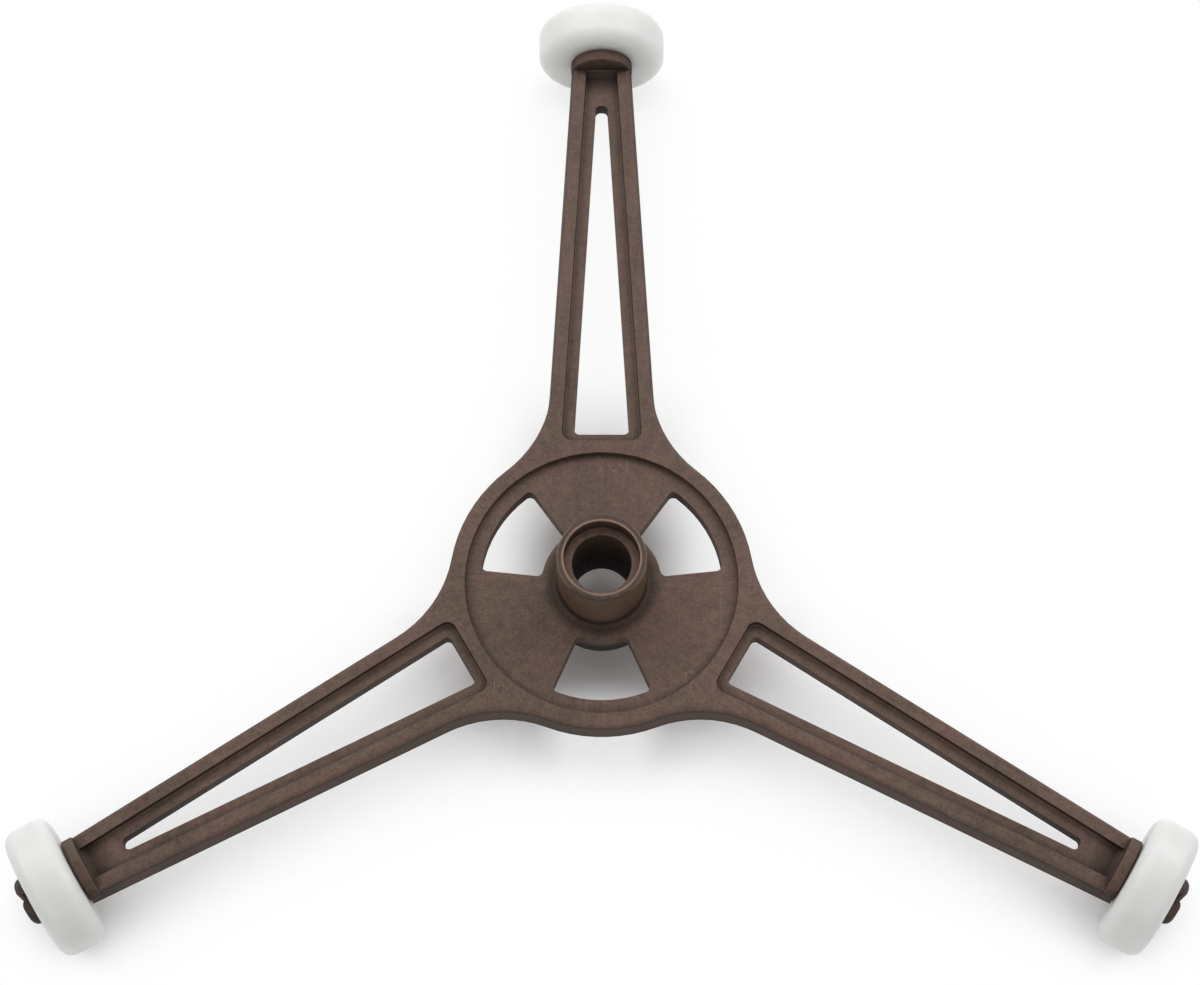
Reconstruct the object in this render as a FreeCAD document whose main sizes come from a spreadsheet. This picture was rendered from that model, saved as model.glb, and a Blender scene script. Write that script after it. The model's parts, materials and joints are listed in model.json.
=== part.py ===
import FreeCAD, Part
import math
import os
import Sketcher

# Roller support that carries a microwave oven's glass tray: a moulded three-armed
# carrier with a hub, and a plain roller on the split axle pin at the end of each arm.
# Millimetres. The hub's axis is Z, and Z = 0 is the plane of the three axle pins.

# Driving dimensions
SIZES = {
    # Rollers and the pins that carry them
    "roller_circle_radius": 91.0,
    "roller_radius": 10.0,
    "roller_width": 7.0,
    "roller_edge_radius": 2.0,
    "roller_bore_chamfer": 0.4,
    "axle_radius": 2.75,
    "axle_clearance": 0.08,
    "roller_end_play": 0.15,
    "head_radius": 3.65,
    "head_length": 1.5,
    "head_round": 1.3,
    "prong_round": 1.0,
    "split_width": 0.9,
    "split_root_land": 1.6,
    "split_root_radius": 0.3,
    # End collars
    "collar_radius": 4.85,
    "collar_rise": 1.5,
    "collar_thickness": 1.8,
    "collar_round": 0.3,
    "collar_slope": 0.9,
    # Arms
    "rim_height": 3.0,
    "plate_thickness": 3.7,
    "draft_angle": 5.85,
    "arm_root_half_width": 8.58,
    "arm_tip_half_width": 4.75,
    "flare_angle": 40.5,
    "edge_round": 0.6,
    "arm_rim_width": 1.95,
    "channel_depth": 1.1,
    "channel_root_land": 1.9,
    "channel_corner_radius": 1.5,
    "channel_fillet": 0.4,
    "slot_ledge_width": 1.85,
    "slot_root_ledge": 1.35,
    "slot_tip_land": 5.9,
    "slot_root_radius": 0.8,
    "slot_tip_radius": 0.8,
    # Plate and hub
    "disc_radius": 23.05,
    "disc_rim_width": 2.27,
    "recess_depth": 1.0,
    "bore_radius": 4.4,
    "counterbore_ledge": 1.2,
    "counterbore_depth": 3.0,
    "hub_wall": 1.0,
    "hub_rise": 11.0,
    "hub_round": 0.35,
    "hub_base_fillet": 0.8,
    "boss_step": 2.05,
    "boss_drop": 4.1,
    "window_hub_land": 0.3,
    "window_rim_land": 2.25,
    "window_half_angle": 24.0,
    "window_corner_radius": 0.9,
}

# The rollers' nodes, one to an arm, anticlockwise from the arm that points along +Y
ROLLERS = ("roller_rear", "roller_left", "roller_right")

# How near two places have to be to count as one, and the whole way round
TOUCH = 0.01
FULL_TURN = 360.0


class Size:
    """A number together with the sheet expression that gives it."""

    def __init__(self, value, text):
        self.value = value
        self.text = text

    def __add__(self, other):
        return Size(self.value + other.value, f"({self.text} + {other.text})")

    def __sub__(self, other):
        return Size(self.value - other.value, f"({self.text} - {other.text})")

    def __mul__(self, other):
        return Size(self.value * other.value, f"({self.text} * {other.text})")

    def __truediv__(self, other):
        return Size(self.value / other.value, f"({self.text} / {other.text})")

    def __neg__(self):
        return Size(-self.value, f"(-{self.text})")


ZERO = Size(0.0, "0")
ONE = Size(1.0, "1")
TWO = Size(2.0, "2")


def tangent(angle):
    return Size(math.tan(math.radians(angle.value)), f"tan({angle.text})")


def sine(angle):
    return Size(math.sin(math.radians(angle.value)), f"sin({angle.text})")


def cosine(angle):
    return Size(math.cos(math.radians(angle.value)), f"cos({angle.text})")


doc = FreeCAD.newDocument("tray_roller_support")
sheet = doc.addObject("Spreadsheet::Sheet", "sizes")
size = {}
for row, (name, number) in enumerate(SIZES.items(), start=1):
    sheet.set(f"A{row}", name)
    sheet.set(f"B{row}", str(number))
    sheet.setAlias(f"B{row}", name)
    size[name] = Size(number, f"sizes.{name}")
doc.recompute()

# Heights and radial stations that follow from the driving dimensions
rim_top = size["rim_height"]
plate_bottom = rim_top - size["plate_thickness"]
recess_floor = rim_top - size["recess_depth"]
channel_floor = rim_top - size["channel_depth"]
hub_top = rim_top + size["hub_rise"]
hub_bottom = plate_bottom - size["boss_drop"]
counterbore_floor = hub_top - size["counterbore_depth"]
wall_lean = size["plate_thickness"] * tangent(size["draft_angle"])

disc_top = size["disc_radius"] - wall_lean
recess_radius = disc_top - size["disc_rim_width"]
counterbore_radius = size["bore_radius"] + size["counterbore_ledge"]
hub_radius = counterbore_radius + size["hub_wall"]
boss_radius = hub_radius + size["boss_step"]
window_inner = boss_radius + size["window_hub_land"]
window_outer = recess_radius - size["window_rim_land"]

half_roller = size["roller_width"] / TWO
collar_face = size["roller_circle_radius"] - half_roller - size["roller_end_play"]
collar_back = collar_face - size["collar_thickness"]
head_shoulder = size["roller_circle_radius"] + half_roller + size["roller_end_play"]
head_end = head_shoulder + size["head_length"]
split_root = collar_face + size["split_root_land"]

# The flares are arcs that leave the plate's rim at a set angle from the arm's middle
flare_sine = sine(size["flare_angle"])
flare_radius = (size["disc_radius"] * flare_sine - size["arm_root_half_width"]) / (ONE - flare_sine)

arm_start = recess_radius
channel_start = recess_radius + size["channel_root_land"]
slot_start = channel_start + size["slot_root_ledge"]
slot_end = collar_back - size["slot_tip_land"]


def arm_half_width(station):
    """Half the arm's width at its base, which tapers from the plate to the collar."""
    along = (station - arm_start) / (collar_back - arm_start)
    narrowing = size["arm_root_half_width"] - size["arm_tip_half_width"]
    return size["arm_root_half_width"] - narrowing * along


def channel_half_width(station):
    return arm_half_width(station) - wall_lean - size["arm_rim_width"]


def slot_half_width(station):
    return channel_half_width(station) - size["slot_ledge_width"]


def origin_feature(body, role):
    return next(item for item in body.Origin.OriginFeatures if item.Role == role)


def new_body(label):
    body = doc.addObject("PartDesign::Body", label)
    body.Label = label
    return body


def new_sketch(body, name, plane, height=ZERO, lift=ZERO):
    """A sketch on one of the body's origin planes, moved along that plane's normal and up it."""
    sketch = body.newObject("Sketcher::SketchObject", name)
    sketch.AttachmentSupport = [(origin_feature(body, plane), "")]
    sketch.MapMode = "FlatFace"
    sketch.setExpression(".AttachmentOffset.Base.z", height.text)
    sketch.setExpression(".AttachmentOffset.Base.y", lift.text)
    return sketch


def bind(sketch, kind, *geometry, to):
    index = sketch.addConstraint(Sketcher.Constraint(kind, *geometry, to.value))
    sketch.setExpression(f"Constraints[{index}]", to.text)


def pin_point(sketch, geometry, end, x, y):
    bind(sketch, "DistanceX", -1, 1, geometry, end, to=x)
    bind(sketch, "DistanceY", -1, 1, geometry, end, to=y)


def corner_cut(before, corner, after, radius):
    """Where a round of this radius leaves the two sides that meet at a corner."""
    to_before = (before - corner).normalize()
    to_after = (after - corner).normalize()
    half_angle = to_before.getAngle(to_after) / 2
    reach = radius / math.tan(half_angle)
    middle = (to_before + to_after).normalize() * (radius / math.sin(half_angle) - radius)
    return corner + to_before * reach, corner + middle, corner + to_after * reach


def draw_outline(sketch, corners):
    """A closed outline of straight sides. A corner is (x, y) or (x, y, rounding radius)."""
    count = len(corners)
    places = [FreeCAD.Vector(corner[0].value, corner[1].value, 0) for corner in corners]
    starts = list(places)
    ends = list(places)
    arcs = {}
    for i, corner in enumerate(corners):
        if len(corner) == 3:
            cut = corner_cut(places[i - 1], places[i], places[(i + 1) % count], corner[2].value)
            ends[i], middle, starts[i] = cut
            arcs[i] = sketch.addGeometry(Part.Arc(ends[i], middle, starts[i]), False)
    sides = []
    for i in range(count):
        side = Part.LineSegment(starts[i], ends[(i + 1) % count])
        sides.append(sketch.addGeometry(side, False))
    for i, corner in enumerate(corners):
        before = sides[i - 1]
        after = sides[i]
        if i not in arcs:
            sketch.addConstraint(Sketcher.Constraint("Coincident", before, 2, after, 1))
            pin_point(sketch, after, 1, corner[0], corner[1])
            continue
        tip = sketch.addGeometry(Part.Point(places[i]), True)
        pin_point(sketch, tip, 1, corner[0], corner[1])
        sketch.addConstraint(Sketcher.Constraint("PointOnObject", tip, 1, before))
        sketch.addConstraint(Sketcher.Constraint("PointOnObject", tip, 1, after))
        first, last = arc_ends(sketch, arcs[i], ends[i])
        sketch.addConstraint(Sketcher.Constraint("Tangent", before, 2, arcs[i], first))
        sketch.addConstraint(Sketcher.Constraint("Tangent", after, 1, arcs[i], last))
        bind(sketch, "Radius", arcs[i], to=corner[2])


def arc_ends(sketch, arc, start):
    """An arc's two ends, the one at the given place first, because arcs run anticlockwise."""
    if sketch.getPoint(arc, 1).distanceToPoint(start) < TOUCH:
        return 1, 2
    return 2, 1


def draw_fan(sketch, inner, outer, half_angle, side):
    """A fan-shaped outline about the hub: two arcs and two radial sides. side is -1 or 1 in Y."""
    across = sine(half_angle)
    along = cosine(half_angle) * side
    near_left = (-inner * across, inner * along)
    near_right = (inner * across, inner * along)
    far_left = (-outer * across, outer * along)
    far_right = (outer * across, outer * along)

    def place(corner):
        return FreeCAD.Vector(corner[0].value, corner[1].value, 0)

    def add_arc(first, radius, last):
        middle = FreeCAD.Vector(0, radius.value * side.value, 0)
        arc = sketch.addGeometry(Part.Arc(place(first), middle, place(last)), False)
        sketch.addConstraint(Sketcher.Constraint("Coincident", arc, 3, -1, 1))
        bind(sketch, "Radius", arc, to=radius)
        return arc

    inner_arc = add_arc(near_left, inner, near_right)
    outer_arc = add_arc(far_left, outer, far_right)
    for start, stop in ((near_left, far_left), (near_right, far_right)):
        line = sketch.addGeometry(Part.LineSegment(place(start), place(stop)), False)
        inner_end = arc_ends(sketch, inner_arc, place(start))[0]
        outer_end = arc_ends(sketch, outer_arc, place(stop))[0]
        sketch.addConstraint(Sketcher.Constraint("Coincident", line, 1, inner_arc, inner_end))
        sketch.addConstraint(Sketcher.Constraint("Coincident", line, 2, outer_arc, outer_end))
        bind(sketch, "DistanceX", -1, 1, line, 1, to=start[0])
        bind(sketch, "DistanceX", -1, 1, line, 2, to=stop[0])


def add_revolution(body, name, sketch, axis):
    feature = body.newObject("PartDesign::Revolution", name)
    feature.Profile = sketch
    feature.ReferenceAxis = (sketch, [axis])
    feature.Angle = FULL_TURN
    return feature


def add_groove(body, name, sketch, axis):
    feature = body.newObject("PartDesign::Groove", name)
    feature.Profile = sketch
    feature.ReferenceAxis = (sketch, [axis])
    feature.Angle = FULL_TURN
    return feature


def add_pad(body, name, sketch, length, taper=None):
    feature = body.newObject("PartDesign::Pad", name)
    feature.Profile = sketch
    feature.setExpression("Length", length.text)
    if taper is not None:
        feature.setExpression("TaperAngle", (-taper).text)
    return feature


def add_pocket(body, name, sketch, depth):
    """A pocket that goes down from its sketch, checked to have taken something away."""
    doc.recompute()
    before = body.Shape.Volume
    feature = body.newObject("PartDesign::Pocket", name)
    feature.Profile = sketch
    feature.setExpression("Length", depth.text)
    doc.recompute()
    if body.Shape.Volume >= before - TOUCH:
        raise RuntimeError(f"{name} cuts nothing")
    return feature


def add_fillet(body, name, radius, wanted):
    """A fillet on each edge of the body that the wanted function picks."""
    doc.recompute()
    base = body.Tip
    shape = base.Shape
    edges = [f"Edge{i}" for i, edge in enumerate(shape.Edges, start=1) if wanted(shape, edge)]
    if not edges:
        raise RuntimeError(f"{name} finds no edges")
    feature = body.newObject("PartDesign::Fillet", name)
    feature.Base = (base, edges)
    feature.setExpression("Radius", radius.text)
    return feature


def add_polar_pattern(body, name, originals):
    pattern = body.newObject("PartDesign::PolarPattern", name)
    pattern.Originals = originals
    pattern.Axis = (origin_feature(body, "Z_Axis"), [""])
    pattern.Angle = FULL_TURN
    pattern.Occurrences = len(ROLLERS)
    body.Tip = pattern
    return pattern


def near(value, target):
    return abs(value - target.value) < TOUCH


def spans(edge, low, high):
    """True for an edge that runs from one height to another."""
    box = edge.BoundBox
    return near(box.ZMin, low) and near(box.ZMax, high)


def is_flat_at(edge, height):
    return spans(edge, height, height)


def plan_radius(point):
    return math.hypot(point.x, point.y)


def joins_wall(shape, edge, low, high):
    """True if one of the two faces at an edge is a wall between these heights."""
    faces = shape.ancestorsOfType(edge, Part.Face)
    return any(near(face.BoundBox.ZMin, low) and near(face.BoundBox.ZMax, high) for face in faces)


def build_carrier():
    """The moulded carrier: hub, recessed plate, channelled arms, collars and split pins."""
    body = new_body("carrier")

    # Hub, plate and lower boss, turned about the hub's axis
    profile = new_sketch(body, "hub_profile", "XZ_Plane")
    draw_outline(profile, [
        (size["bore_radius"], hub_bottom),
        (boss_radius, hub_bottom),
        (boss_radius, plate_bottom),
        (size["disc_radius"], plate_bottom),
        (disc_top, rim_top),
        (hub_radius, rim_top),
        (hub_radius, hub_top, size["hub_round"]),
        (counterbore_radius, hub_top),
        (counterbore_radius, counterbore_floor),
        (size["bore_radius"], counterbore_floor),
    ])
    add_revolution(body, "hub_and_plate", profile, "V_Axis")

    # Arm, with drafted sides, from well inside the plate
    outline = new_sketch(body, "arm_outline", "XY_Plane", plate_bottom)
    root = arm_half_width(boss_radius)
    tip = arm_half_width(collar_back)
    draw_outline(outline, [
        (-root, boss_radius),
        (root, boss_radius),
        (tip, collar_face),
        (-tip, collar_face),
    ])
    arm = add_pad(body, "arm", outline, size["plate_thickness"], taper=size["draft_angle"])

    # Collar that the roller runs against, set higher than the pin
    collar_section = new_sketch(body, "collar_section", "YZ_Plane", lift=size["collar_rise"])
    draw_outline(collar_section, [
        (collar_back, ZERO),
        (collar_face, ZERO),
        (collar_face, size["collar_radius"], size["collar_round"]),
        (collar_back, size["collar_radius"], size["collar_round"]),
    ])
    collar = add_revolution(body, "collar", collar_section, "H_Axis")

    # Axle pin with a rounded snap head
    half_section = new_sketch(body, "axle_section", "YZ_Plane")
    draw_outline(half_section, [
        (collar_back, ZERO),
        (head_end, ZERO),
        (head_end, size["head_radius"], size["head_round"]),
        (head_shoulder, size["head_radius"]),
        (head_shoulder, size["axle_radius"]),
        (collar_back, size["axle_radius"]),
    ])
    axle = add_revolution(body, "axle_pin", half_section, "H_Axis")

    # Upright split that lets the two prongs close when the roller is pushed on
    split_outline = new_sketch(body, "split_outline", "XY_Plane", size["head_radius"])
    half_split = size["split_width"] / TWO
    split_mouth = head_end + size["head_length"]
    draw_outline(split_outline, [
        (-half_split, split_root, size["split_root_radius"]),
        (half_split, split_root, size["split_root_radius"]),
        (half_split, head_end, size["prong_round"]),
        (size["head_radius"], head_end),
        (size["head_radius"], split_mouth),
        (-size["head_radius"], split_mouth),
        (-size["head_radius"], head_end),
        (-half_split, head_end, size["prong_round"]),
    ])
    split = add_pocket(body, "pin_split", split_outline, size["head_radius"] * TWO)

    # Channel along the arm's top
    channel_outline = new_sketch(body, "channel_outline", "XY_Plane", rim_top)
    channel_root = channel_half_width(channel_start)
    channel_tip = channel_half_width(collar_back)
    draw_outline(channel_outline, [
        (-channel_root, channel_start, size["channel_corner_radius"]),
        (channel_root, channel_start, size["channel_corner_radius"]),
        (channel_tip, collar_back),
        (-channel_tip, collar_back),
    ])
    channel = add_pocket(body, "channel", channel_outline, size["channel_depth"])

    # Slope that carries the channel's floor up into the collar
    slope_section = new_sketch(body, "collar_slope_section", "YZ_Plane", -channel_tip)
    slope_start = collar_back - size["collar_slope"]
    slope_top = channel_floor + size["collar_slope"]
    inside_collar = collar_back + size["collar_thickness"] / TWO
    inside_floor = (channel_floor + plate_bottom) / TWO
    draw_outline(slope_section, [
        (slope_start, channel_floor),
        (collar_back, slope_top),
        (inside_collar, slope_top),
        (inside_collar, inside_floor),
        (slope_start, inside_floor),
    ])
    slope = add_pad(body, "collar_slope", slope_section, channel_tip * TWO)

    # Tapered slot through the channel's floor
    slot_outline = new_sketch(body, "slot_outline", "XY_Plane", rim_top)
    slot_root = slot_half_width(slot_start)
    slot_tip = slot_half_width(slot_end)
    draw_outline(slot_outline, [
        (-slot_root, slot_start, size["slot_root_radius"]),
        (slot_root, slot_start, size["slot_root_radius"]),
        (slot_tip, slot_end, size["slot_tip_radius"]),
        (-slot_tip, slot_end, size["slot_tip_radius"]),
    ])
    slot = add_pocket(body, "slot", slot_outline, size["plate_thickness"])

    add_polar_pattern(body, "three_arms", [arm, collar, axle, split, channel, slope, slot])

    # Fan-shaped windows through the plate, each opposite an arm
    window_outline = new_sketch(body, "window_outline", "XY_Plane", rim_top)
    draw_fan(window_outline, window_inner, window_outer, size["window_half_angle"], -ONE)
    window = add_pocket(body, "window", window_outline, size["plate_thickness"])
    add_polar_pattern(body, "three_windows", [window])

    # Shallow round recess about the hub, with a fillet at the hub's foot
    recess_section = new_sketch(body, "recess_section", "XZ_Plane")
    draw_outline(recess_section, [
        (hub_radius, rim_top),
        (hub_radius, recess_floor, size["hub_base_fillet"]),
        (recess_radius, recess_floor),
        (recess_radius, rim_top),
    ])
    add_groove(body, "recess", recess_section, "V_Axis")

    # Flares where the arms grow out of the plate
    def is_flare(shape, edge):
        if not spans(edge, plate_bottom, rim_top) or len(edge.Vertexes) != 2:
            return False
        low, high = sorted((vertex.Point for vertex in edge.Vertexes), key=lambda point: point.z)
        return near(plan_radius(low), size["disc_radius"]) and near(plan_radius(high), disc_top)

    add_fillet(body, "arm_flares", flare_radius, is_flare)

    # Rounded corners of the windows
    def is_window_corner(shape, edge):
        if not spans(edge, plate_bottom, recess_floor):
            return False
        reach = plan_radius(edge.CenterOfMass)
        return near(reach, window_inner) or near(reach, window_outer)

    add_fillet(body, "window_corners", size["window_corner_radius"], is_window_corner)

    # Fillet round the foot of the channel's walls
    def is_channel_foot(shape, edge):
        return is_flat_at(edge, channel_floor) and joins_wall(shape, edge, channel_floor, rim_top)

    add_fillet(body, "channel_foot", size["channel_fillet"], is_channel_foot)

    # Rounded upper edge of the plate and arms
    def is_upper_edge(shape, edge):
        return is_flat_at(edge, rim_top) and joins_wall(shape, edge, plate_bottom, rim_top)

    add_fillet(body, "upper_edges", size["edge_round"], is_upper_edge)
    return body


def build_roller(label, turn):
    """A plain roller with rounded edges, bored to run on its axle pin."""
    body = new_body(label)
    half_section = new_sketch(body, "roller_section", "YZ_Plane")
    inner = size["roller_circle_radius"] - half_roller
    outer = size["roller_circle_radius"] + half_roller
    bore = size["axle_radius"] + size["axle_clearance"]
    chamfer = size["roller_bore_chamfer"]
    draw_outline(half_section, [
        (inner, bore + chamfer),
        (inner + chamfer, bore),
        (outer - chamfer, bore),
        (outer, bore + chamfer),
        (outer, size["roller_radius"], size["roller_edge_radius"]),
        (inner, size["roller_radius"], size["roller_edge_radius"]),
    ])
    add_revolution(body, "roller", half_section, "H_Axis")
    upright = FreeCAD.Vector(0, 0, 1)
    body.Placement = FreeCAD.Placement(FreeCAD.Vector(), FreeCAD.Rotation(upright, turn))
    return body


bodies = [build_carrier()]
bodies += [build_roller(label, i * FULL_TURN / len(ROLLERS)) for i, label in enumerate(ROLLERS)]
doc.recompute()

# Nothing is written unless every feature and every solid is sound
for item in doc.Objects:
    if {"Invalid", "Error"} & set(item.State):
        raise RuntimeError(f"{item.Label} is {item.State}")
for body in bodies:
    if body.Shape.isNull() or not body.Shape.isValid() or len(body.Shape.Solids) != 1:
        raise RuntimeError(f"{body.Label} is not one sound solid")

os.makedirs("parts", exist_ok=True)
for body in bodies:
    body.Shape.exportStep(f"parts/{body.Label}.step")
    print(body.Label, round(body.Shape.Volume, 2), body.Shape.BoundBox)
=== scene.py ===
import json
import math

import bpy
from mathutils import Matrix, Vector


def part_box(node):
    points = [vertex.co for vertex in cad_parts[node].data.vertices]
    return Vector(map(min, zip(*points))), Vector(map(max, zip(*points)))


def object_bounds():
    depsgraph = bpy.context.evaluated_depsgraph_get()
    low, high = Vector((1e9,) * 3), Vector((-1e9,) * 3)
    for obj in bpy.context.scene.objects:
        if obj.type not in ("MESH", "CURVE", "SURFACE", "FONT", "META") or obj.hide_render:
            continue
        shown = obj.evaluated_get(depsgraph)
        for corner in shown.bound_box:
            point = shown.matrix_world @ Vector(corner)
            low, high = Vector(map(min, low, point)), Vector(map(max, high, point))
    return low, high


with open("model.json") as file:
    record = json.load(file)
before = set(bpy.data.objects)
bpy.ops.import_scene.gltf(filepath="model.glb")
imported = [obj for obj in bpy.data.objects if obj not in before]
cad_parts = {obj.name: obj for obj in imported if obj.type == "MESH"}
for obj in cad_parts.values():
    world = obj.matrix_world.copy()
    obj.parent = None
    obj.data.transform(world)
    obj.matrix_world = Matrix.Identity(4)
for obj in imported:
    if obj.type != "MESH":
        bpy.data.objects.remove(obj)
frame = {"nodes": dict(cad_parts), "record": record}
cad_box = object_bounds()

# Looks of a microwave oven's tray roller support: a brown moulded carrier with three arms
# and three off-white rollers. The CAD meshes are its shapes, and this script adds their
# materials, the light, the floor and the camera. Metres, in the part's own frame: the hub's
# axis is Z, and the rear arm points along +Y.

MM = 0.001
WHITE = (1.0, 1.0, 1.0, 1.0)

# The photograph's view: from the front and above, with a long lens
IMAGE_WIDTH_PX = 1200
FOCAL_LENGTH_PX = 2731.6
SENSOR_WIDTH_MM = 36.0
CAMERA_PLACE = (-0.00025, -0.12507, 0.39007)
CAMERA_PITCH_DEG = 70.25
CAMERA_NEAR = 0.01

# Light, at a level at which a white surface that faces up renders as white
SIDE_PLACE = (0.49, 0.41, 0.455)
SIDE_SIZE = (0.6, 0.45)
SIDE_WATTS = 2.05
TOP_PLACE = (0.0, 0.42, 0.65)
TOP_SIZE = (0.65, 0.65)
TOP_WATTS = 1.8
FILL_PLACE = (0.0, -0.9, 0.75)
FILL_SIZE = (0.9, 0.5)
FILL_WATTS = 2.8
WORLD_LEVEL = 0.32

# Floor: matt where the object shades it, and lifted to white for the eye where it lies open
# and where the photograph shows little shade: painted light over the object's shadow.
# Each lift is a ramp: first, last, start, end.
FLOOR_SIDE = 6.0
FLOOR_COLOUR = (0.97, 0.97, 0.97, 1.0)
FLOOR_SKY_REACH = 60 * MM
OPEN_LIFT = (0.45, 0.80, 0.0, 1.0)                    # by the share of sky seen
REAR_LIFT = (20 * MM, 40 * MM, 0.0, 0.85)             # by Y, behind the plate
REAR_ROLLER_LIFT = (82 * MM, 92 * MM, 1.0, 0.65)      # by Y, less of it at the rear roller
SIDE_LIFT = (6 * MM, 18 * MM, 0.0, 0.75)              # by X to both sides, beside the hub
SIDE_LIFT_DEPTH = (-6 * MM, 2 * MM, 0.0, 1.0)         # by Y, from the hub backwards
FRONT_LIFT = (-11 * MM, -20 * MM, 0.0, 0.6)           # by Y, under the plate's front
FRONT_LIFT_WIDTH = (12 * MM, 4 * MM, 0.0, 1.0)        # by X to both sides, in the middle

# Where the carrier's forms end, for the masks of its material. Radii are from the hub's axis.
mounts = {mount["name"]: mount for mount in frame["record"]["mounts"]}
HUB_TOP = cad_box[1].z
HUB_RADIUS = 6.6 * MM
COUNTERBORE_RADIUS = mounts["hub_counterbore"]["dims"]["r_mm"] * MM
MOUTH_RUB_RADIUS = 5.87 * MM
BOSS_RADIUS = 8.65 * MM
RECESS_RADIUS = 20.78 * MM
RIM_TOP = 3.0 * MM
PLATE_TOP = 2.0 * MM
PLATE_BOTTOM = -0.7 * MM
ROLLER_INNER, ROLLER_OUTER = (corner.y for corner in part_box("roller_rear"))
ROLLER_END_PLAY = 0.15 * MM
COLLAR_LENGTH = 1.95 * MM
COLLAR_END = ROLLER_INNER - ROLLER_END_PLAY
COLLAR_START = COLLAR_END - COLLAR_LENGTH
HEAD_START = ROLLER_OUTER + ROLLER_END_PLAY

# The carrier's colours, how far each pattern swings its shade to either side, and its finish
BROWN = (0.1175, 0.0760, 0.0540, 1.0)
WARM_BROWN = (0.1215, 0.0730, 0.0560, 1.0)
RED_BROWN = (0.1230, 0.0690, 0.0560, 1.0)
SCUFF_COLOUR = (0.30, 0.22, 0.16, 1.0)
# Grime and painted shade in the corners
GRIME_AND_SHADE_COLOUR = (0.042, 0.021, 0.014, 1.0)
# Wear and painted highlights on the hub's mouth
RUB_AND_HIGHLIGHT_COLOUR = (0.31, 0.21, 0.15, 1.0)
HUB_CAST = (1.04, 0.98, 0.80)
MOTTLE_SWING = 0.21
TONE_SWING = 0.10
STREAK_SWING = 0.09
GRAIN_SWING = 0.17
CARRIER_ROUGHNESS = (0.46, 0.62)
RUBBED_ROUGHNESS = -0.12             # added where the hub's mouth is rubbed
SHELTERED_ROUGHNESS = 0.18           # added on walls and in sheltered places
CARRIER_RELIEF_DEPTH = 0.05 * MM

# How noise is stretched into the streaks of the plastic's flow: per radian round the hub,
# and per metre outwards and upwards
STREAKS_ROUND = 38.0
STREAKS_OUT = 55.0
STREAKS_UP = 300.0

# How far about itself a place looks for open sky, for painted shade and grime: the carrier's walls,
# its corners, a roller
WALL_SKY_REACH = 6.0 * MM
CORNER_SKY_REACH = 2.0 * MM
DUST_AND_SHADE_SKY_REACH = 2.5 * MM

# How much of the carrier's light painted shade, grime and marks take away or cover, as shares of 1
INNER_WALL_SHADE = 0.58
HUB_WALL_SHADE = 0.15
OUTER_WALL_SHADE = (10 * MM, 23 * MM, 0.12, 0.40)     # a ramp by radius, out to the plate's edge
UPPER_EDGE_SHADE = 0.4
UPPER_EDGE_START = (12 * MM, 14 * MM)                 # a ramp by radius, clear of the hub
LOWER_EDGE_SHADE = 0.35
BOSS_EDGE_SHADE = 0.65
DEEP_SHADE = (0.15, 0.38)                             # beyond the collar, and inside it
CORNER_GRIME_AND_SHADE = (0.15, 0.70)                           # beyond the collar, and inside it
CHANNEL_END_SHADE = 0.45
ARM_END_SHADE = (55 * MM, COLLAR_START, 0.0, 0.1)     # a ramp by radius
HEAD_SHADE = 0.42
BORE_SHADE = 0.2
FOOT_SHADE = 0.50
MOUTH_SHADE = 0.42
SCUFF_SHARE = 0.42
RUB_AND_HIGHLIGHT_SHARE = 0.6

# What is left of the painted shade and grime at the recess's step and about the hub, and the
# painted light that step's wall gains
RECESS_WALL_EASE = 0.3
RECESS_CORNER_EASE = 0.4
HUB_CORNER_EASE = 0.35
RECESS_WALL_GAIN = 0.4

# Scratches: noise, in waves per metre across and along the lines
SCRATCH_TURNS_DEG = (25.0, -48.0, 80.0)
SCRATCH_ACROSS = 2400.0
SCRATCH_ALONG = 90.0

# Where the carrier is scuffed most, in plan: both front arm roots and two places on the plate
SCUFFS = (
    ((-14.3 * MM, -16.0 * MM), 3.0 * MM),
    ((13.3 * MM, -16.0 * MM), 3.0 * MM),
    ((17.9 * MM, -4.8 * MM), 5.0 * MM),
    ((2.3 * MM, 17.9 * MM), 3.5 * MM),
)

# The rollers' colours and finish
ROLLER_WHITE = (0.752, 0.754, 0.740, 1.0)
ROLLER_GREY = (0.730, 0.734, 0.722, 1.0)
SPECK_COLOUR = (0.52, 0.51, 0.48, 1.0)
# Grime and painted warm shade near the roller's collar and pin
DUST_AND_SHADE_COLOUR = (0.60, 0.55, 0.48, 1.0)
SPECK_SHARE = 0.25
DUST_AND_SHADE_SHARE = 0.6
ROLLER_ROUGHNESS = (0.38, 0.50)
ROLLER_RELIEF_DEPTH = 0.03 * MM
ROLLER_LIGHT_DEPTH = 5.0 * MM


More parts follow.
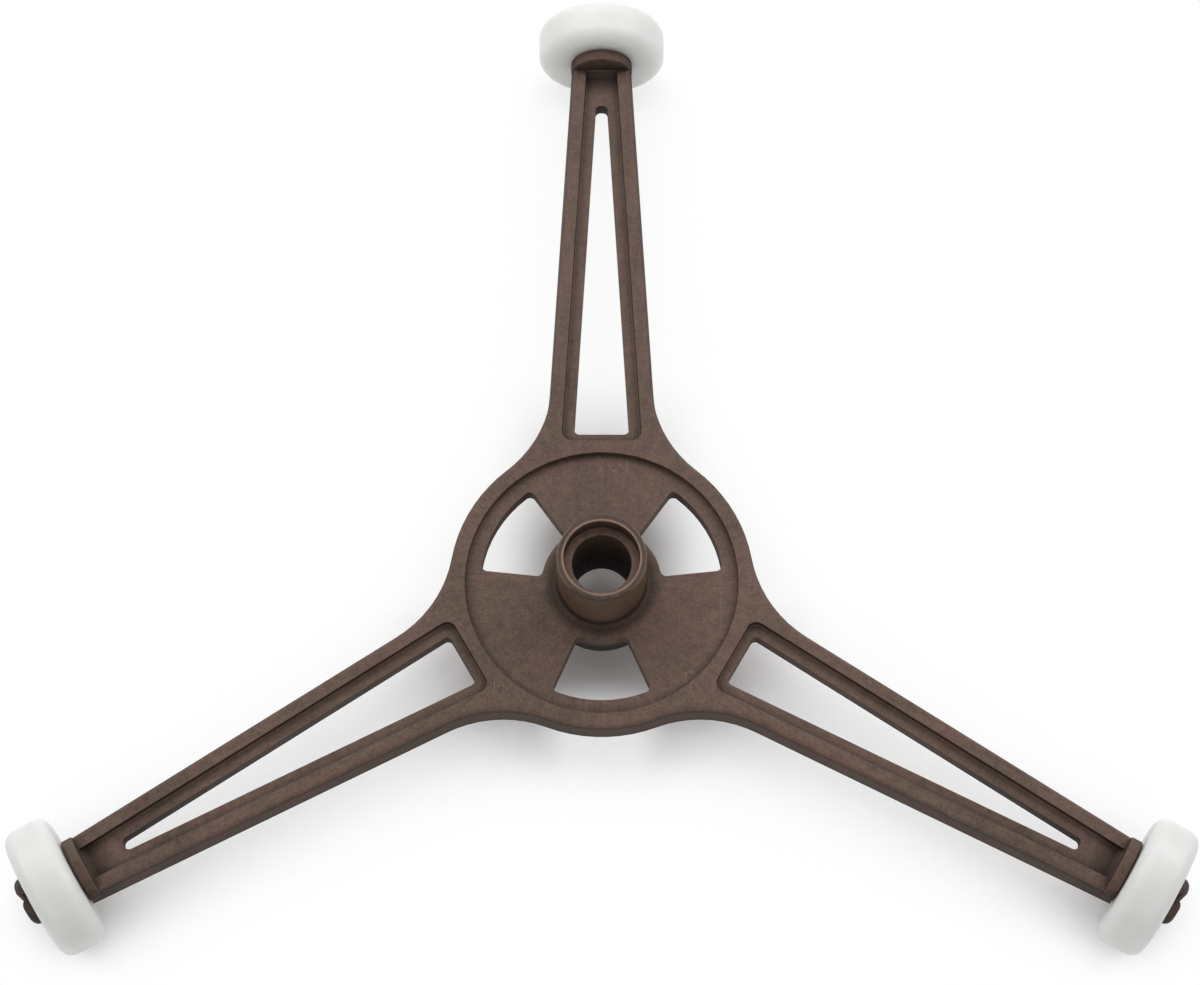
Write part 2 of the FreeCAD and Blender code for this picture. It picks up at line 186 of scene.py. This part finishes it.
class Tree:
    """The node tree of a material or a world, with short calls for the nodes used here."""

    def __init__(self, owner):
        owner.use_nodes = True
        self.owner = owner
        self.nodes = owner.node_tree.nodes
        self.links = owner.node_tree.links
        self.nodes.clear()

    def add(self, kind, settings=None, **sockets):
        """A node. A socket's name has _ for each space, and an index is written _0, _1."""
        item = self.nodes.new("ShaderNode" + kind)
        for name, value in (settings or {}).items():
            setattr(item, name, value)
        for name, value in sockets.items():
            index = int(name[1:]) if name[1:].isdigit() else name.replace("_", " ")
            self.join(value, item.inputs[index])
        return item

    def join(self, value, socket):
        if isinstance(value, bpy.types.NodeSocket):
            self.links.new(value, socket)
        else:
            socket.default_value = value

    def math(self, operation, first, *others):
        """The operation on one value, or on two or more from left to right."""
        if not others:
            return self.add("Math", {"operation": operation}, _0=first).outputs[0]
        for other in others:
            first = self.add("Math", {"operation": operation}, _0=first, _1=other).outputs[0]
        return first

    def total(self, *values):
        return self.math("ADD", *values)

    def times(self, *values):
        return self.math("MULTIPLY", *values)

    def most(self, *values):
        return self.math("MAXIMUM", *values)

    def vector(self, operation, first, second=(0.0, 0.0, 0.0)):
        return self.add("VectorMath", {"operation": operation}, _0=first, _1=second).outputs

    def noise(self, vector, scale, detail=2.0, roughness=0.5, distortion=0.0):
        item = self.add("TexNoise", Vector=vector, Scale=scale, Detail=detail,
                        Roughness=roughness, Distortion=distortion)
        return item.outputs["Fac"]

    def ramp(self, value, first, last, start=0.0, end=1.0):
        """Goes smoothly from start to end as the value goes, up or down, from first to last."""
        item = self.add("MapRange", {"interpolation_type": "SMOOTHSTEP"}, Value=value,
                        From_Min=first, From_Max=last, To_Min=start, To_Max=end)
        return item.outputs["Result"]

    def swing(self, noise, amount, low=0.3, high=0.7):
        """Goes from -amount to amount over a noise's usual range."""
        return self.ramp(noise, low, high, -amount, amount)

    def switch(self, mask, off, on):
        """Goes from off to on as a mask goes from 0 to 1."""
        return self.ramp(mask, 0.0, 1.0, off, on)

    def sky(self, reach, samples):
        """The share of sky left open by what lies within reach: 1 in the open, less in corners."""
        return self.add("AmbientOcclusion", {"samples": samples}, Distance=reach).outputs["AO"]

    def mix(self, amount, first, second):
        item = self.add("Mix", {"data_type": "RGBA"}, _0=amount, _6=first, _7=second)
        return item.outputs[2]

    def tint(self, colour, factor):
        """The colour made lighter or darker by a factor."""
        item = self.add("VectorMath", {"operation": "SCALE"}, _0=colour, Scale=factor)
        return item.outputs[0]

    def lighten(self, colour, share):
        return self.tint(colour, self.total(1.0, share))

    def darken(self, colour, *shares):
        """The colour with these shares of its light taken away, one after another."""
        for share in shares:
            colour = self.tint(colour, self.math("SUBTRACT", 1.0, share))
        return colour

    def finish(self, surface, output="OutputMaterial"):
        self.add(output, Surface=surface)
        return self.owner

    def finish_plastic(self, colour, rough, height, relief, depth, **uniform):
        """Ends the tree in a plastic. Uniform numbers go on the shader's own sockets."""
        bump = self.add("Bump", Strength=relief, Distance=depth, Height=height)
        shader = self.add("BsdfPrincipled", Base_Color=colour, Roughness=rough,
                          Normal=bump.outputs[0], **uniform)
        return self.finish(shader.outputs[0])


class CarrierTree(Tree):
    """The carrier's tree. Its masks are 1 on a part of the carrier and 0 elsewhere."""

    def __init__(self, owner):
        super().__init__(owner)
        coordinates = self.add("TexCoord").outputs
        self.place = coordinates["Object"]
        self.plan = self.vector("MULTIPLY", self.place, (1.0, 1.0, 0.0))["Vector"]
        self.radius = self.vector("LENGTH", self.plan)["Value"]
        self.x, self.y, self.z = self.add("SeparateXYZ", Vector=self.place).outputs
        self.mottle = self.noise(self.place, scale=650.0, detail=5.0, roughness=0.65)
        self.grain = self.noise(self.place, scale=2400.0, detail=3.0, roughness=0.7)

        radius, z = self.radius, self.z
        facing = self.add("SeparateXYZ", Vector=coordinates["Normal"]).outputs["Z"]
        self.upright = self.ramp(self.math("ABSOLUTE", facing), 0.75, 0.35)
        self.wide_sky = self.sky(WALL_SKY_REACH, samples=8)
        within_hub = self.ramp(radius, HUB_RADIUS + 0.4 * MM, HUB_RADIUS + 0.2 * MM)
        self.on_hub = self.times(self.upright, within_hub)
        self.at_mouth = self.times(within_hub, self.ramp(z, HUB_TOP - 0.6 * MM, HUB_TOP - 0.2 * MM))
        self.in_bore = self.times(
            self.ramp(radius, COUNTERBORE_RADIUS + 0.2 * MM, COUNTERBORE_RADIUS + 0.1 * MM),
            self.ramp(z, HUB_TOP - 0.3 * MM, HUB_TOP - 0.9 * MM))
        self.at_foot = self.times(
            self.ramp(radius, HUB_RADIUS + 2.6 * MM, HUB_RADIUS + 0.8 * MM),
            self.ramp(z, PLATE_TOP + 2.0 * MM, PLATE_TOP + 0.5 * MM))
        self.at_recess = self.times(
            self.ramp(radius, RECESS_RADIUS - 1.0 * MM, RECESS_RADIUS - 0.6 * MM),
            self.ramp(radius, RECESS_RADIUS + 0.7 * MM, RECESS_RADIUS + 0.4 * MM))
        self.inside_collar = self.ramp(radius, COLLAR_END, COLLAR_START)
        self.channel_end = self.times(
            self.inside_collar,
            self.ramp(radius, COLLAR_START - 4.5 * MM, COLLAR_START - 1.2 * MM),
            self.ramp(z, RIM_TOP - 0.1 * MM, RIM_TOP - 0.5 * MM))

    def mottled_brown(self):
        """Mottling at four scales, and streaks left by the plastic's flow from the hub."""
        tones = self.noise(self.place, scale=75.0, detail=3.0)
        moved = self.add("Mapping", Vector=self.place, Location=(0.7, 0.2, 0.4)).outputs[0]
        reds = self.noise(moved, scale=95.0, detail=3.0)
        angle = self.math("ARCTAN2", self.y, self.x)
        flow = self.add("CombineXYZ", X=self.times(angle, STREAKS_ROUND),
                        Y=self.times(self.radius, STREAKS_OUT),
                        Z=self.times(self.z, STREAKS_UP)).outputs[0]
        streaks = self.noise(flow, scale=1.6, detail=4.0, roughness=0.65, distortion=0.3)
        colour = self.mix(self.ramp(tones, 0.36, 0.64), BROWN, WARM_BROWN)
        colour = self.mix(self.ramp(reds, 0.52, 0.70, 0.0, 0.7), colour, RED_BROWN)
        return self.lighten(colour, self.total(
            self.swing(self.mottle, MOTTLE_SWING, 0.25, 0.75),
            self.swing(tones, TONE_SWING),
            self.swing(streaks, STREAK_SWING),
            self.swing(self.grain, GRAIN_SWING)))

    def scratches(self, turn_deg):
        """Thin lines in one direction: noise that is stretched along the line and cut off high."""
        turned = self.add("Mapping", Vector=self.place, Rotation=(0.0, 0.0, math.radians(turn_deg)),
                          Scale=(SCRATCH_ACROSS, SCRATCH_ALONG, SCRATCH_ACROSS)).outputs[0]
        return self.ramp(self.noise(turned, scale=1.0, detail=3.0, roughness=0.6), 0.64, 0.69)

    def spot(self, centre, reach):
        """1 about a point in plan and 0 beyond its reach, with a ragged border."""
        ragged = self.swing(self.noise(self.place, scale=300.0, detail=4.0), 0.5)
        away = self.vector("DISTANCE", self.plan, (*centre, 0.0))["Value"]
        return self.ramp(self.total(self.math("DIVIDE", away, reach), ragged), 1.0, 0.4)

    def marks(self):
        """Scratches and small pale scuffs: here and there, and more where the part was handled."""
        here_and_there = self.ramp(self.noise(self.place, scale=60.0), 0.50, 0.68, 0.0, 0.25)
        handled = self.most(here_and_there, *(self.spot(*scuff) for scuff in SCUFFS))
        scuffs = self.ramp(self.noise(self.place, scale=1100.0, detail=3.0), 0.60, 0.72)
        lines = (self.scratches(turn_deg) for turn_deg in SCRATCH_TURNS_DEG)
        return self.times(self.most(scuffs, *lines), handled)

    def paint_wall_shade(self, colour):
        """Painted shade on the walls, darker than the faces that lie flat, and painted light on the
        recess step's wall.
        """
        radius, z, upright = self.radius, self.z, self.upright
        hub_colour = self.vector("MULTIPLY", colour, HUB_CAST)["Vector"]
        colour = self.mix(self.on_hub, colour, hub_colour)

        # Painted shade: walls darker where hemmed in, on the hub, and further out from the hub
        wall = self.most(
            self.times(upright, self.ramp(self.wide_sky, 0.97, 0.62), INNER_WALL_SHADE),
            self.times(self.on_hub, HUB_WALL_SHADE),
            self.times(upright, self.ramp(radius, *OUTER_WALL_SHADE)))
        wall = self.times(wall, self.switch(self.at_recess, 1.0, RECESS_WALL_EASE))
        # Painted shade: a dark band on the walls just below the rims' top
        upper_edge = self.times(
            upright,
            self.ramp(self.wide_sky, 0.75, 0.9),
            self.ramp(radius, *UPPER_EDGE_START),
            self.ramp(z, RIM_TOP - 1.0 * MM, RIM_TOP - 0.8 * MM, 0.0, UPPER_EDGE_SHADE),
            self.ramp(z, RIM_TOP - 0.4 * MM, RIM_TOP - 0.6 * MM))
        # Painted shade: walls darker towards their lower edge
        lower_edge = self.times(
            upright,
            self.inside_collar,
            self.ramp(z, PLATE_BOTTOM + 0.9 * MM, PLATE_BOTTOM + 0.1 * MM, 0.0, LOWER_EDGE_SHADE))
        # Painted shade: the boss's wall darker towards its lower edge
        boss_edge = self.times(
            upright,
            self.ramp(radius, BOSS_RADIUS + 1.35 * MM, BOSS_RADIUS + 0.85 * MM),
            self.ramp(z, PLATE_BOTTOM - 0.6 * MM, PLATE_BOTTOM - 2.2 * MM, 0.0, BOSS_EDGE_SHADE))
        # Painted shade on every face where walls close in, more of it inside the collar
        deep = self.times(self.ramp(self.wide_sky, 0.80, 0.45),
                          self.switch(self.inside_collar, *DEEP_SHADE))
        colour = self.darken(colour, wall, upper_edge, deep, lower_edge, boss_edge)
        # Painted light on the recess step's wall
        return self.lighten(colour, self.times(self.at_recess, upright, RECESS_WALL_GAIN))

    def paint_shade_and_grime(self, colour):
        """Grime and painted shade in corners, painted shade at channel and arm ends, snap heads,
        bore and hub's foot, and painted light on the counterbore's ledge.
        """
        # Grime and painted shade in the corners
        corner = self.times(
            self.ramp(self.sky(CORNER_SKY_REACH, samples=6), 0.90, 0.40),
            self.switch(self.inside_collar, *CORNER_GRIME_AND_SHADE),
            self.switch(self.at_recess, 1.0, RECESS_CORNER_EASE),
            self.ramp(self.radius, HUB_RADIUS + 1.0 * MM, HUB_RADIUS + 2.5 * MM,
                      HUB_CORNER_EASE, 1.0))
        colour = self.mix(corner, colour, GRIME_AND_SHADE_COLOUR)
        on_head = self.ramp(self.radius, HEAD_START - 0.4 * MM, HEAD_START - 0.1 * MM)
        # Painted shade: the channels' ends under the collar, the arms towards their ends, the snap
        # heads, the bore's walls and the hub's foot
        colour = self.darken(
            colour,
            self.times(self.channel_end, CHANNEL_END_SHADE),
            self.ramp(self.radius, *ARM_END_SHADE),
            self.times(on_head, HEAD_SHADE),
            self.times(self.in_bore, self.upright, BORE_SHADE),
            self.times(self.at_foot, FOOT_SHADE))
        # Painted light on the counterbore's ledge
        ledge = self.times(self.in_bore, self.math("SUBTRACT", 1.0, self.upright))
        return self.lighten(colour, ledge)

    def mouth_wear_and_highlight(self):
        """The hub's mouth: worn pale, with a painted highlight, on its inner edge, and on its outer
        edge to both sides.
        """
        patches = self.ramp(self.noise(self.place, scale=260.0, detail=3.0), 0.3, 0.65, 0.6, 1.0)
        inner_edge = self.ramp(self.radius, MOUTH_RUB_RADIUS + 0.12 * MM,
                               MOUTH_RUB_RADIUS - 0.12 * MM)
        outer_edge = self.ramp(self.radius, HUB_RADIUS - 0.25 * MM, HUB_RADIUS - 0.1 * MM)
        to_the_sides = self.ramp(self.math("ABSOLUTE", self.x), 3.5 * MM, 5.5 * MM, 0.0, 0.7)
        edges = self.most(self.times(patches, inner_edge), self.times(outer_edge, to_the_sides))
        return self.times(self.at_mouth, edges)

    def paint_mouth_wear_and_light(self, colour, wear_and_highlight):
        """The hub's mouth: pale where it is worn and highlit, and with painted shade outside its
        inner edge.
        """
        outer = self.ramp(self.radius, MOUTH_RUB_RADIUS - 0.1 * MM, MOUTH_RUB_RADIUS + 0.1 * MM)
        colour = self.darken(colour, self.times(self.at_mouth, outer, MOUTH_SHADE))
        return self.mix(self.times(wear_and_highlight, RUB_AND_HIGHLIGHT_SHARE), colour, RUB_AND_HIGHLIGHT_COLOUR)


def carrier_plastic():
    """Filled brown moulding: mottled, streaked out from the hub, scuffed and grimy, with painted
    shade on walls and in hollows, and painted light in places.
    """
    tree = CarrierTree(bpy.data.materials.new("carrier_plastic_moulded"))
    marks = tree.marks()
    wear_and_highlight = tree.mouth_wear_and_highlight()
    colour = tree.mix(tree.times(marks, SCUFF_SHARE), tree.mottled_brown(), SCUFF_COLOUR)
    colour = tree.paint_mouth_wear_and_light(tree.paint_shade_and_grime(tree.paint_wall_shade(colour)), wear_and_highlight)
    sheltered = tree.most(tree.upright, tree.at_foot, tree.channel_end)
    rough = tree.total(tree.ramp(tree.mottle, 0.25, 0.75, *CARRIER_ROUGHNESS),
                       tree.times(wear_and_highlight, RUBBED_ROUGHNESS),
                       tree.times(sheltered, SHELTERED_ROUGHNESS))
    height = tree.total(tree.times(tree.grain, 0.6), tree.times(tree.mottle, 0.5),
                        tree.times(marks, -0.3))
    return tree.finish_plastic(colour, rough, height, relief=0.35, depth=CARRIER_RELIEF_DEPTH,
                               IOR=1.5, Specular_IOR_Level=0.30)


def roller_plastic():
    """Off-white low-friction plastic, a little translucent, with specks, and grime and painted warm
    shade about its pin and collar.
    """
    tree = Tree(bpy.data.materials.new("roller_plastic_smooth"))
    place = tree.add("TexCoord").outputs["Object"]
    clouds = tree.noise(place, scale=160.0, detail=3.0)
    grain = tree.noise(place, scale=1800.0, detail=3.0, roughness=0.6)
    specks = tree.ramp(tree.noise(place, scale=1300.0), 0.72, 0.80)
    # Grime and painted warm shade where the roller is hemmed in by its collar and pin
    dust_and_shade = tree.ramp(tree.sky(DUST_AND_SHADE_SKY_REACH, samples=6), 0.75, 0.3, 0.0, DUST_AND_SHADE_SHARE)
    colour = tree.mix(tree.ramp(clouds, 0.35, 0.65), ROLLER_WHITE, ROLLER_GREY)
    colour = tree.mix(tree.times(specks, SPECK_SHARE), colour, SPECK_COLOUR)
    colour = tree.mix(dust_and_shade, colour, DUST_AND_SHADE_COLOUR)
    rough = tree.ramp(clouds, 0.3, 0.7, *ROLLER_ROUGHNESS)
    height = tree.total(tree.times(grain, 0.5), specks)
    return tree.finish_plastic(colour, rough, height, relief=0.15, depth=ROLLER_RELIEF_DEPTH,
                               IOR=1.48, Subsurface_Weight=0.9, Subsurface_Radius=(1.0, 1.0, 0.9),
                               Subsurface_Scale=ROLLER_LIGHT_DEPTH)


def floor_paint():
    """Matt white that keeps the object's shadow near it, with painted light that lifts the rest of
    its shade to plain white for the eye.
    """
    tree = Tree(bpy.data.materials.new("floor_white"))
    place = tree.add("TexCoord").outputs["Object"]
    x, y, _ = tree.add("SeparateXYZ", Vector=place).outputs
    aside = tree.math("ABSOLUTE", x)
    # Painted light: how far the floor's shade is lifted to white, by open sky and by place
    lift = tree.most(
        tree.ramp(tree.sky(FLOOR_SKY_REACH, samples=12), *OPEN_LIFT),
        tree.times(tree.ramp(y, *REAR_LIFT), tree.ramp(y, *REAR_ROLLER_LIFT)),
        tree.times(tree.ramp(aside, *SIDE_LIFT), tree.ramp(y, *SIDE_LIFT_DEPTH)),
        tree.times(tree.ramp(y, *FRONT_LIFT), tree.ramp(aside, *FRONT_LIFT_WIDTH)))
    ray = tree.add("LightPath").outputs
    seen = tree.most(ray["Is Camera Ray"], ray["Is Glossy Ray"], ray["Is Transmission Ray"])
    matt = tree.add("BsdfDiffuse", Color=FLOOR_COLOUR).outputs[0]
    white = tree.add("Emission", Color=WHITE, Strength=1.0).outputs[0]
    blend = tree.add("MixShader", _0=tree.times(seen, lift), _1=matt, _2=white)
    return tree.finish(blend.outputs[0])


def dress(node_name, material):
    """Gives a CAD node its finished material."""
    slots = frame["nodes"][node_name].data.materials
    slots.clear()
    slots.append(material)


def add_floor():
    half = FLOOR_SIDE / 2
    corners = [(-half, -half, 0.0), (half, -half, 0.0), (half, half, 0.0), (-half, half, 0.0)]
    mesh = bpy.data.meshes.new("floor")
    mesh.from_pydata(corners, [], [(0, 1, 2, 3)])
    mesh.materials.append(floor_paint())
    floor = bpy.data.objects.new("floor", mesh)
    floor.location.z = cad_box[0].z
    bpy.context.scene.collection.objects.link(floor)


def add_area_light(name, place, extent, watts):
    """A soft box that faces the object."""
    lamp = bpy.data.lights.new(name, "AREA")
    lamp.shape = "RECTANGLE"
    lamp.size, lamp.size_y = extent
    lamp.energy = watts
    box = bpy.data.objects.new(name, lamp)
    box.location = place
    box.rotation_euler = (-Vector(place)).to_track_quat("-Z", "Y").to_euler()
    bpy.context.scene.collection.objects.link(box)


def add_world():
    """White to the eye, and a dimmer even light on the object."""
    tree = Tree(bpy.data.worlds.new("studio"))
    ray = tree.add("LightPath").outputs
    seen = tree.most(ray["Is Camera Ray"], ray["Is Transmission Ray"])
    level = tree.add("MapRange", Value=seen, To_Min=WORLD_LEVEL, To_Max=1.0)
    background = tree.add("Background", Color=WHITE, Strength=level.outputs[0])
    bpy.context.scene.world = tree.finish(background.outputs[0], "OutputWorld")


def add_camera():
    lens = bpy.data.cameras.new("camera")
    lens.sensor_width = SENSOR_WIDTH_MM
    lens.lens = FOCAL_LENGTH_PX / IMAGE_WIDTH_PX * SENSOR_WIDTH_MM
    lens.clip_start = CAMERA_NEAR
    camera = bpy.data.objects.new("camera", lens)
    camera.location = CAMERA_PLACE
    camera.rotation_euler.x = math.radians(90.0 - CAMERA_PITCH_DEG)
    bpy.context.scene.collection.objects.link(camera)
    bpy.context.scene.camera = camera


dress("carrier", carrier_plastic())
white_plastic = roller_plastic()
for roller in ("roller_rear", "roller_left", "roller_right"):
    dress(roller, white_plastic)

add_floor()
right, back, up = SIDE_PLACE
add_area_light("right_light", (right, back, up), SIDE_SIZE, SIDE_WATTS)
add_area_light("left_light", (-right, back, up), SIDE_SIZE, SIDE_WATTS)
add_area_light("top_light", TOP_PLACE, TOP_SIZE, TOP_WATTS)
add_area_light("fill_light", FILL_PLACE, FILL_SIZE, FILL_WATTS)
add_world()
add_camera()
bpy.context.scene.view_settings.view_transform = "Standard"
